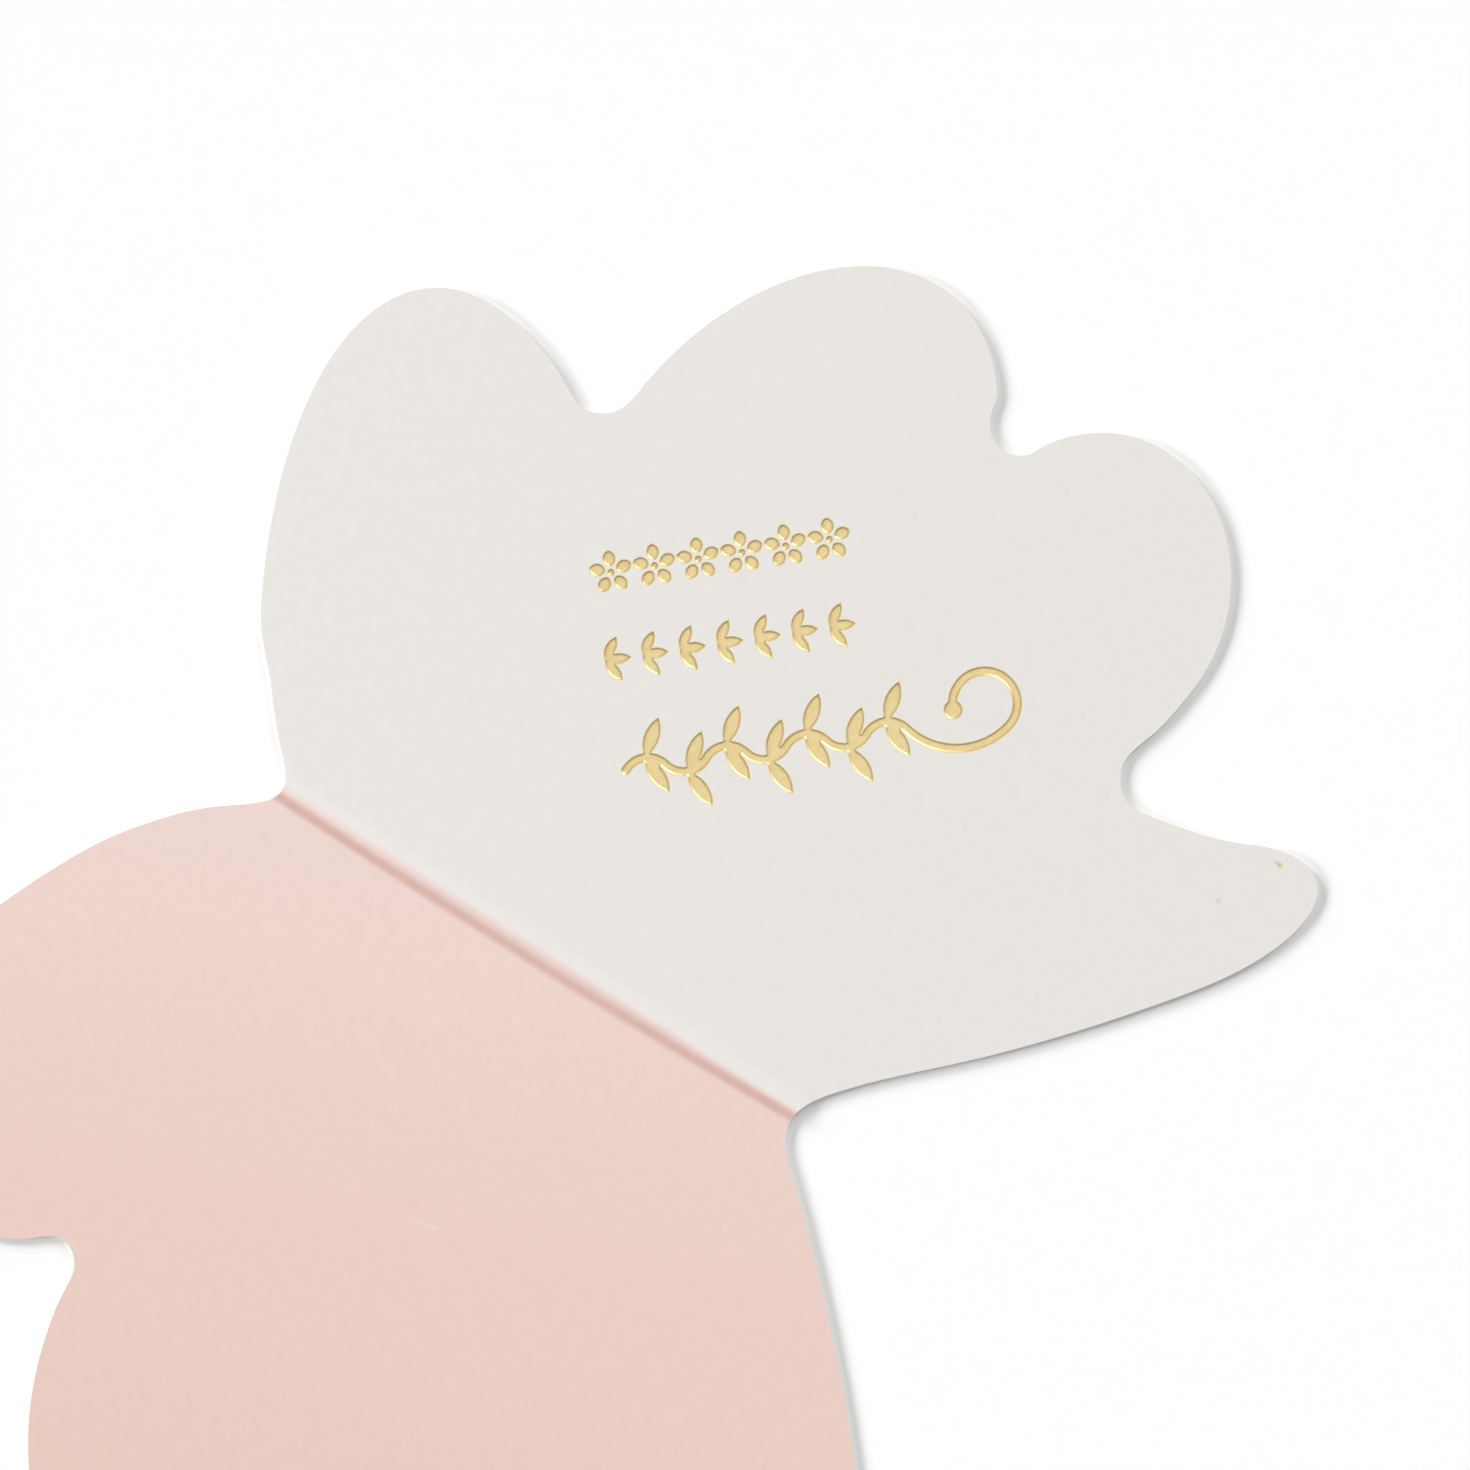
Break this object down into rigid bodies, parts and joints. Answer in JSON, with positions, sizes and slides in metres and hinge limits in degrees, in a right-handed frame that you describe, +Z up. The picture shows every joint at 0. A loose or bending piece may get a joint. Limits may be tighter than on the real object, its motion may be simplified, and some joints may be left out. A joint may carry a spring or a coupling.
{
  "type": "greeting card",
  "caption": "Opened greeting card lying flat: one die-cut sheet of board with a lobed outline, creased across its middle, with a pressed foil ornament inside.",
  "frame": {"origin": "middle of the open card's footprint, on the surface that the card lies on", "axes": "+X runs along the fold, +Y runs from the cover panel to the back panel, +Z points up out of the card's inside face"},
  "size_m": [0.1286, 0.1738, 0.0008],
  "materials": {
    "board": "thick uncoated board, white on the back panel and pale pink on the cover panel, with gold foil in the pressed ornament"
  },
  "bodies": {
    "root": {"card": "board"}
  },
  "joints": []
}
